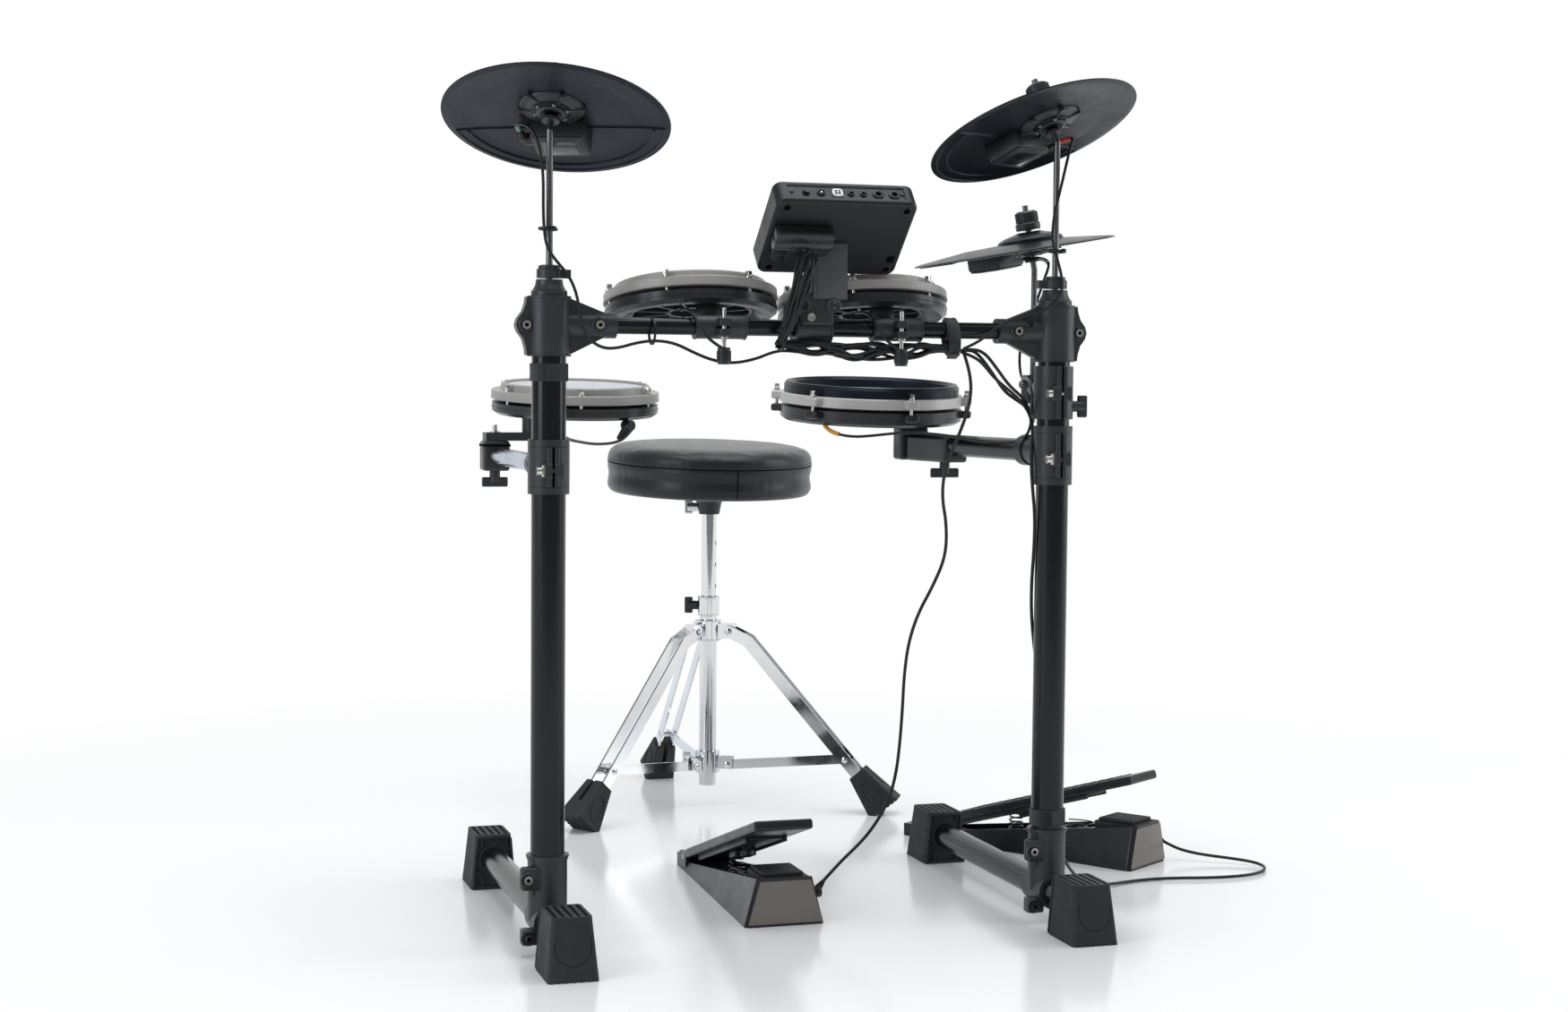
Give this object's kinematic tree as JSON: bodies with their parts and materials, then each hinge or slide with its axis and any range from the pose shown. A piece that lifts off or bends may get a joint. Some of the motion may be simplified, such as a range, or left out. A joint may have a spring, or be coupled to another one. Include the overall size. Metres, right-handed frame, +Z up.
{
  "type": "electronic drum kit",
  "caption": "Electronic drum kit: pads and a sound module on a two-post rack, cymbal pads on rods, kick and hi-hat pedals, and a folding round throne.",
  "frame": {"origin": "centre of the floor area that the kit covers, without its free leads", "axes": "+X along the crossbar, +Y from the rack towards the throne, +Z up"},
  "size_m": [1.1082, 1.2354, 0.9933],
  "materials": {
    "black_tube": "satin black powder coat",
    "black_plastic": "moulded, fine texture",
    "shell_plastic": "moulded black",
    "hoop_grey": "warm grey, satin",
    "mesh_head": "woven mesh",
    "pad_rubber": "matte moulded rubber",
    "module_plastic": "fine spark texture",
    "pedal_metal": "dark satin",
    "bolt_steel": "plated",
    "lead_rubber": "smooth jacket",
    "strap_fabric": "hook and loop",
    "seat_vinyl": "grained black vinyl",
    "chrome": "polished"
  },
  "bodies": {
    "root": {"left_post": "black_tube", "right_post": "black_tube", "crossbar": "black_tube", "foot_tubes": "black_tube", "rubber_feet": "pad_rubber", "base_clamps": "black_plastic", "top_clamps": "black_plastic", "rack_bolts": "bolt_steel", "cymbal_rods": "bolt_steel", "cymbal_nuts": "black_plastic", "hihat_clamp": "black_plastic", "floor_clamp": "black_plastic", "snare_clamp": "black_plastic", "cable_straps": "strap_fabric", "pad_leads": "lead_rubber", "kick_lead": "lead_rubber", "hihat_lead": "lead_rubber", "lead_plugs": "lead_rubber", "kick_base": "pedal_metal", "hihat_base": "pedal_metal", "pedal_cushions": "pad_rubber"},
    "kick_board": {"kick_footboard": "pedal_metal"},
    "hihat_board": {"hihat_footboard": "pedal_metal"},
    "ride_cymbal": {"ride_pad": "pad_rubber", "ride_trigger": "black_plastic"},
    "crash_cymbal": {"crash_pad": "pad_rubber", "crash_trigger": "black_plastic"},
    "hihat_cymbal": {"hihat_pad": "pad_rubber", "hihat_trigger": "black_plastic"},
    "tom1": {"tom1_clamp": "black_plastic", "tom1_shell": "shell_plastic", "tom1_hoop": "hoop_grey", "tom1_head": "mesh_head"},
    "tom2": {"tom2_clamp": "black_plastic", "tom2_shell": "shell_plastic", "tom2_hoop": "hoop_grey", "tom2_head": "mesh_head"},
    "module": {"module_case": "module_plastic", "module_bracket": "black_plastic"},
    "knob": {"module_knob": "module_plastic"},
    "power_button": {"module_button": "module_plastic"},
    "floor_tom": {"floor_arm": "black_plastic", "floor_tom_shell": "shell_plastic", "floor_tom_hoop": "hoop_grey", "floor_tom_head": "mesh_head"},
    "snare": {"snare_arm": "black_plastic", "snare_shell": "shell_plastic", "snare_hoop": "hoop_grey", "snare_head": "mesh_head"},
    "throne_base": {"throne_tube": "chrome"},
    "throne_column": {"throne_post": "chrome"},
    "seat": {"throne_cushion": "seat_vinyl", "throne_socket": "black_plastic"},
    "fold_collar": {"throne_slider": "chrome"},
    "leg_1": {"throne_leg_1": "chrome"},
    "strut_1": {"throne_strut_1": "chrome"},
    "leg_2": {"throne_leg_2": "chrome"},
    "strut_2": {"throne_strut_2": "chrome"},
    "leg_3": {"throne_leg_3": "chrome"},
    "strut_3": {"throne_strut_3": "chrome"}
  },
  "joints": [
    {"name": "kick_press", "type": "hinge", "parent": "root", "child": "kick_board", "pos_m": [-0.09802, -0.09072, 0.016], "axis": [1, 0, 0], "range_deg": [0, 6], "stiffness_Nm_per_rad": 16, "springref_deg": -5.16},
    {"name": "hihat_press", "type": "hinge", "parent": "root", "child": "hihat_board", "pos_m": [0.26996, 0.04379, 0.016], "axis": [0.8192, 0.5736, 0], "range_deg": [0, 6], "stiffness_Nm_per_rad": 16, "springref_deg": -5.16},
    {"name": "ride_rock", "type": "hinge", "parent": "root", "child": "ride_cymbal", "pos_m": [-0.38519, -0.46487, 0.93672], "axis": [-0.9117, 0.4108, -0.0017], "range_deg": [-7, 7], "stiffness_Nm_per_rad": 14, "deforming": ["pad_leads"]},
    {"name": "crash_rock", "type": "hinge", "parent": "root", "child": "crash_cymbal", "pos_m": [0.20513, -0.46445, 0.94616], "axis": [-0.853, -0.5219, 0.0013], "range_deg": [-7, 7], "stiffness_Nm_per_rad": 14, "deforming": ["pad_leads"]},
    {"name": "hihat_rock", "type": "hinge", "parent": "root", "child": "hihat_cymbal", "pos_m": [0.26247, -0.28549, 0.80852], "axis": [-0.7928, -0.5946, -0.1342], "range_deg": [-7, 7], "stiffness_Nm_per_rad": 14, "deforming": ["pad_leads"]},
    {"name": "tom1_tilt", "type": "hinge", "parent": "root", "child": "tom1", "pos_m": [-0.19602, -0.47572, 0.696], "axis": [1, 0, 0], "range_deg": [-15, 2], "deforming": ["pad_leads"]},
    {"name": "tom2_tilt", "type": "hinge", "parent": "root", "child": "tom2", "pos_m": [0.01398, -0.47572, 0.696], "axis": [1, 0, 0], "range_deg": [-15, 2], "deforming": ["pad_leads"]},
    {"name": "module_tilt", "type": "hinge", "parent": "root", "child": "module", "pos_m": [-0.08702, -0.47572, 0.696], "axis": [1, 0, 0], "range_deg": [0, 18], "deforming": ["pad_leads"]},
    {"name": "knob_turn", "type": "hinge", "parent": "module", "child": "knob", "pos_m": [-0.02702, -0.49607, 0.83235], "axis": [0, 0.6691, 0.7431], "continuous": true},
    {"name": "power_press", "type": "slide", "parent": "module", "child": "power_button", "axis": [0, 0.7431, -0.6691], "range_m": [0, 0.0018], "stiffness_N_per_m": 400},
    {"name": "floor_tom_swing", "type": "hinge", "parent": "root", "child": "floor_tom", "pos_m": [-0.39002, -0.47572, 0.541], "axis": [0, 0, 1], "range_deg": [-10, 10], "deforming": ["pad_leads"]},
    {"name": "snare_swing", "type": "hinge", "parent": "root", "child": "snare", "pos_m": [0.21198, -0.47572, 0.556], "axis": [0, 0, 1], "range_deg": [-10, 10], "deforming": ["pad_leads"]},
    {"name": "throne_place", "type": "slide", "parent": "root", "child": "throne_base", "axis": [0, 1, 0], "range_m": [0, 0.12]},
    {"name": "throne_height", "type": "slide", "parent": "throne_base", "child": "throne_column", "axis": [0, 0, 1], "range_m": [-0.11, 0.03]},
    {"name": "seat_turn", "type": "hinge", "parent": "throne_column", "child": "seat", "pos_m": [0.01798, 0.33028, 0.468], "axis": [0, 0, 1], "continuous": true},
    {"name": "throne_fold", "type": "slide", "parent": "throne_base", "child": "fold_collar", "axis": [0, 0, 1], "range_m": [0, 0.12221]},
    {"name": "leg_1_fold", "type": "hinge", "parent": "throne_base", "child": "leg_1", "pos_m": [0.01682, 0.36326, 0.264], "axis": [-0.9994, -0.0349, 0], "range_deg": [-0.1, 37.1]},
    {"name": "strut_1_fold", "type": "hinge", "parent": "fold_collar", "child": "strut_1", "pos_m": [0.0169, 0.36126, 0.064], "axis": [-0.9994, -0.0349, 0], "range_deg": [-0.1, 84.85]},
    {"name": "leg_2_fold", "type": "hinge", "parent": "throne_base", "child": "leg_2", "pos_m": [-0.01001, 0.31279, 0.264], "axis": [0.5299, -0.848, 0], "range_deg": [-0.1, 37.1]},
    {"name": "strut_2_fold", "type": "hinge", "parent": "fold_collar", "child": "strut_2", "pos_m": [-0.00831, 0.31385, 0.064], "axis": [0.5299, -0.848, 0], "range_deg": [-0.1, 84.85]},
    {"name": "leg_3_fold", "type": "hinge", "parent": "throne_base", "child": "leg_3", "pos_m": [0.04711, 0.31479, 0.264], "axis": [0.4695, 0.8829, 0], "range_deg": [-0.1, 37.1]},
    {"name": "strut_3_fold", "type": "hinge", "parent": "fold_collar", "child": "strut_3", "pos_m": [0.04535, 0.31573, 0.064], "axis": [0.4695, 0.8829, 0], "range_deg": [-0.1, 84.85]}
  ],
  "couplings": [
    {"joint": "leg_1_fold", "follows": "throne_fold", "rad_per_m": 5.2839},
    {"joint": "strut_1_fold", "follows": "throne_fold", "rad_per_m": 12.103},
    {"joint": "leg_2_fold", "follows": "throne_fold", "rad_per_m": 5.2839},
    {"joint": "strut_2_fold", "follows": "throne_fold", "rad_per_m": 12.103},
    {"joint": "leg_3_fold", "follows": "throne_fold", "rad_per_m": 5.2839},
    {"joint": "strut_3_fold", "follows": "throne_fold", "rad_per_m": 12.103}
  ]
}
